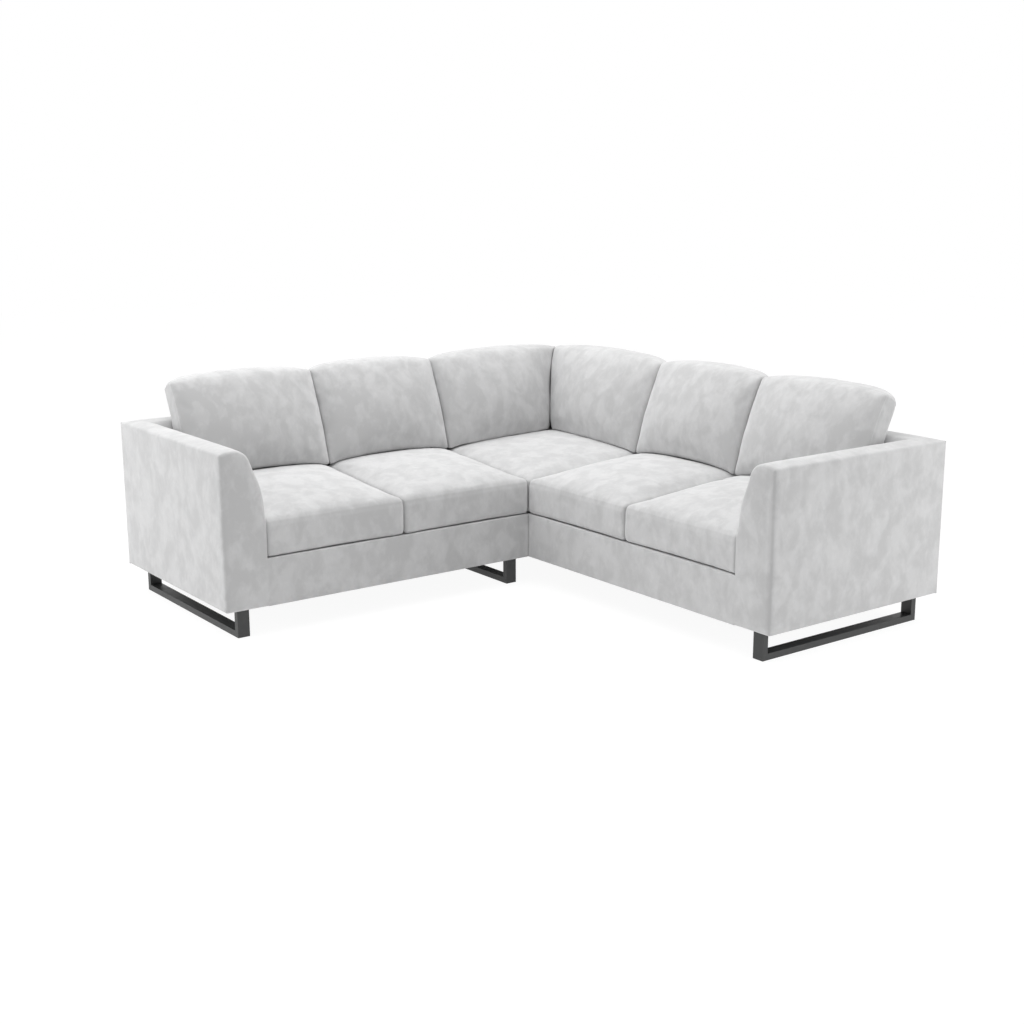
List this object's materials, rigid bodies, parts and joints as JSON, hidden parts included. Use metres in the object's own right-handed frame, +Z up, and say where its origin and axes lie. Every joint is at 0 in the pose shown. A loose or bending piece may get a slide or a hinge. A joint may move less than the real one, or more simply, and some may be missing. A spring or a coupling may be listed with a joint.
{
  "type": "sectional sofa",
  "caption": "L-shaped corner sofa in pale grey velvet: an arm-end loveseat joined to a longer corner module, loose boxed cushions, black steel sled legs.",
  "frame": {"origin": "middle of the square footprint, on the floor", "axes": "+Z up; +X along the loveseat wing towards the corner; +Y from the loveseat wing's seat front towards its outside back. The long wing runs along Y and its seats face -X."},
  "size_m": [2.37, 2.37, 0.9321],
  "materials": {
    "upholstery_fabric": "matte",
    "deck_cloth": "matte",
    "under_lining": "matte",
    "elastic_webbing": "matte",
    "cushion_foam": "matte",
    "frame_wood": "matte",
    "leg_steel": "satin",
    "zinc_steel": "satin",
    "glide_plastic": "matte"
  },
  "bodies": {
    "corner_module": {"corner_front_rail": "frame_wood", "corner_rear_rail": "frame_wood", "corner_cross_rails": "frame_wood", "corner_glue_blocks": "frame_wood", "corner_seat_webbing": "elastic_webbing", "corner_deck": "deck_cloth", "corner_arm_frame": "frame_wood", "corner_arm_cover": "upholstery_fabric", "corner_back_frame": "frame_wood", "corner_return_frame": "frame_wood", "corner_back_webbing": "elastic_webbing", "corner_back_cover": "upholstery_fabric", "corner_return_cover": "upholstery_fabric", "corner_base_cover": "upholstery_fabric", "corner_dust_cover": "under_lining", "corner_arm_leg": "leg_steel", "corner_end_leg": "leg_steel", "corner_leg_glides": "glide_plastic", "corner_screws": "zinc_steel", "corner_connector_jaws": "zinc_steel"},
    "loveseat_module": {"loveseat_front_rail": "frame_wood", "loveseat_rear_rail": "frame_wood", "loveseat_cross_rails": "frame_wood", "loveseat_glue_blocks": "frame_wood", "loveseat_seat_webbing": "elastic_webbing", "loveseat_deck": "deck_cloth", "loveseat_arm_frame": "frame_wood", "loveseat_arm_cover": "upholstery_fabric", "loveseat_back_frame": "frame_wood", "loveseat_back_webbing": "elastic_webbing", "loveseat_back_cover": "upholstery_fabric", "loveseat_base_cover": "upholstery_fabric", "loveseat_dust_cover": "under_lining", "loveseat_arm_leg": "leg_steel", "loveseat_inner_leg": "leg_steel", "loveseat_leg_glides": "glide_plastic", "loveseat_screws": "zinc_steel", "loveseat_connector_tongues": "zinc_steel"},
    "loveseat_seat_arm": {"loveseat_seat_cushion_arm": "upholstery_fabric", "loveseat_seat_core_arm": "cushion_foam"},
    "loveseat_back_arm": {"loveseat_back_cushion_arm": "upholstery_fabric", "loveseat_back_core_arm": "cushion_foam"},
    "loveseat_seat_inner": {"loveseat_seat_cushion_inner": "upholstery_fabric", "loveseat_seat_core_inner": "cushion_foam"},
    "loveseat_back_inner": {"loveseat_back_cushion_inner": "upholstery_fabric", "loveseat_back_core_inner": "cushion_foam"},
    "corner_seat_arm": {"corner_seat_cushion_arm": "upholstery_fabric", "corner_seat_core_arm": "cushion_foam"},
    "corner_back_arm": {"corner_back_cushion_arm": "upholstery_fabric", "corner_back_core_arm": "cushion_foam"},
    "corner_seat_inner": {"corner_seat_cushion_inner": "upholstery_fabric", "corner_seat_core_inner": "cushion_foam"},
    "corner_back_inner": {"corner_back_cushion_inner": "upholstery_fabric", "corner_back_core_inner": "cushion_foam"},
    "corner_seat_corner": {"corner_seat_cushion_corner": "upholstery_fabric", "corner_seat_core_corner": "cushion_foam"},
    "corner_back_return": {"corner_back_cushion_return": "upholstery_fabric", "corner_back_core_return": "cushion_foam"},
    "corner_back_corner": {"corner_back_cushion_corner": "upholstery_fabric", "corner_back_core_corner": "cushion_foam"}
  },
  "joints": [
    {"name": "loveseat_slide", "type": "slide", "parent": "corner_module", "child": "loveseat_module", "axis": [-1, 0, 0], "range_m": [0, 0.3]},
    {"name": "loveseat_seat_arm_lift", "type": "slide", "parent": "loveseat_module", "child": "loveseat_seat_arm", "axis": [0, 0, 1], "range_m": [0, 0.45]},
    {"name": "loveseat_back_arm_lift", "type": "slide", "parent": "loveseat_seat_arm", "child": "loveseat_back_arm", "axis": [0, 0, 1], "range_m": [0, 0.3]},
    {"name": "loveseat_seat_inner_lift", "type": "slide", "parent": "loveseat_module", "child": "loveseat_seat_inner", "axis": [0, 0, 1], "range_m": [0, 0.45]},
    {"name": "loveseat_back_inner_lift", "type": "slide", "parent": "loveseat_seat_inner", "child": "loveseat_back_inner", "axis": [0, 0, 1], "range_m": [0, 0.3]},
    {"name": "corner_seat_arm_lift", "type": "slide", "parent": "corner_module", "child": "corner_seat_arm", "axis": [0, 0, 1], "range_m": [0, 0.45]},
    {"name": "corner_back_arm_lift", "type": "slide", "parent": "corner_seat_arm", "child": "corner_back_arm", "axis": [0, 0, 1], "range_m": [0, 0.3]},
    {"name": "corner_seat_inner_lift", "type": "slide", "parent": "corner_module", "child": "corner_seat_inner", "axis": [0, 0, 1], "range_m": [0, 0.45]},
    {"name": "corner_back_inner_lift", "type": "slide", "parent": "corner_seat_inner", "child": "corner_back_inner", "axis": [0, 0, 1], "range_m": [0, 0.3]},
    {"name": "corner_seat_corner_lift", "type": "slide", "parent": "corner_module", "child": "corner_seat_corner", "axis": [0, 0, 1], "range_m": [0, 0.45]},
    {"name": "corner_back_return_lift", "type": "slide", "parent": "corner_seat_corner", "child": "corner_back_return", "axis": [0, 0, 1], "range_m": [0, 0.3]},
    {"name": "corner_back_corner_lift", "type": "slide", "parent": "corner_seat_corner", "child": "corner_back_corner", "axis": [0, 0, 1], "range_m": [0, 0.3]}
  ]
}
